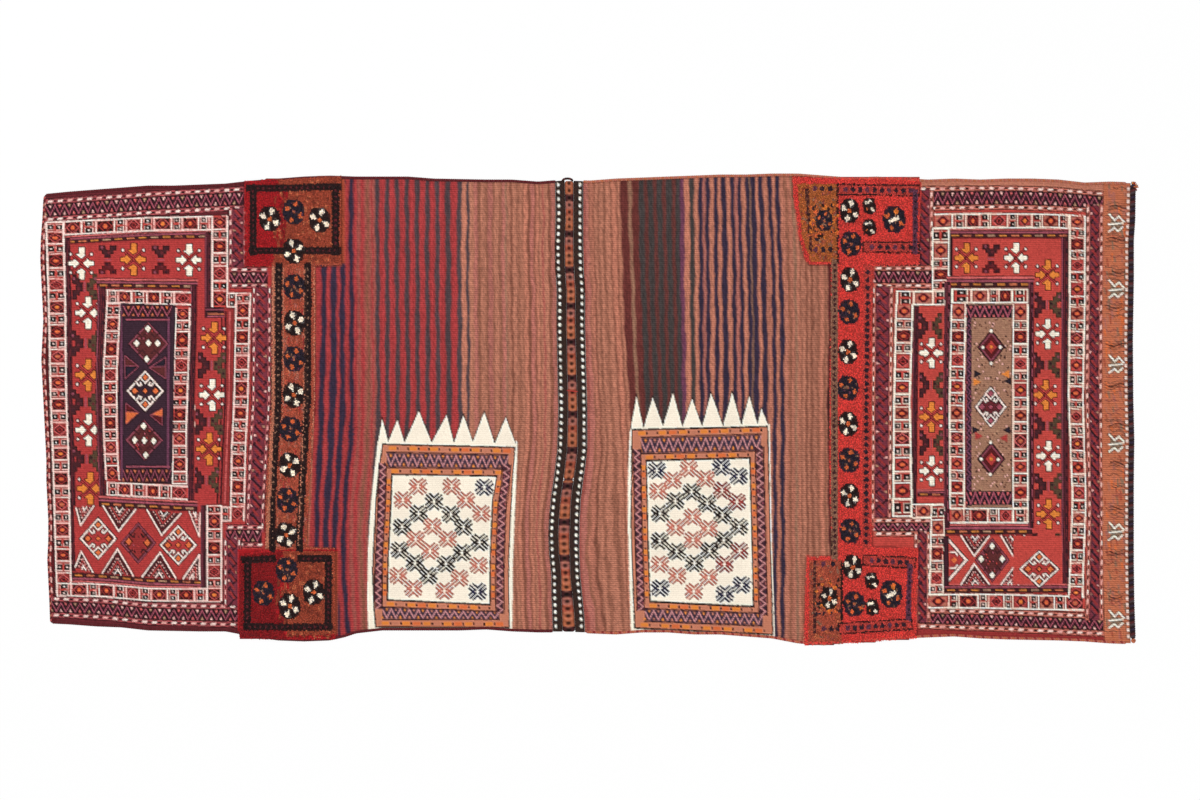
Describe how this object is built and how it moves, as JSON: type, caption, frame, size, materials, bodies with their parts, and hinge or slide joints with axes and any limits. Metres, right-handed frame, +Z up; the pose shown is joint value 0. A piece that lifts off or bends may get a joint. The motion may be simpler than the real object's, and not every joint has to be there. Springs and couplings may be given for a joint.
{
  "type": "kilim saddle bag",
  "caption": "Double saddle bag opened out flat: two woven wool halves with soumak faces, pile strips and striped backs, laced together by a braid in the middle.",
  "frame": {"origin": "middle of the underside of the whole bag, on the surface that it lies on", "axes": "+X along the bag towards the half with the closure slits, +Y across its width, +Z up"},
  "size_m": [2.6408, 1.134, 0.017],
  "materials": {
    "woven_wool": "wool kilim, soumak and knotted pile",
    "goat_hair": "dark brown goat hair, wrapped",
    "braid_wool": "plaited wool",
    "overcast_wool": "overcast wool cord",
    "tassel_wool": "cut wool tuft"
  },
  "bodies": {
    "root": {"left_half_weave": "woven_wool", "right_half_weave": "woven_wool", "centre_edging_left": "goat_hair", "centre_edging_right": "goat_hair", "centre_braid_lower": "braid_wool", "centre_braid_upper": "braid_wool", "centre_lacing": "goat_hair", "centre_top_loop": "goat_hair", "upper_side_cord_left": "overcast_wool", "lower_side_cord_left": "overcast_wool", "upper_side_cord_right": "overcast_wool", "lower_side_cord_right": "overcast_wool", "left_end_binding": "overcast_wool", "right_end_cord": "goat_hair", "corner_tassel": "tassel_wool", "corner_knot": "goat_hair"}
  },
  "joints": []
}
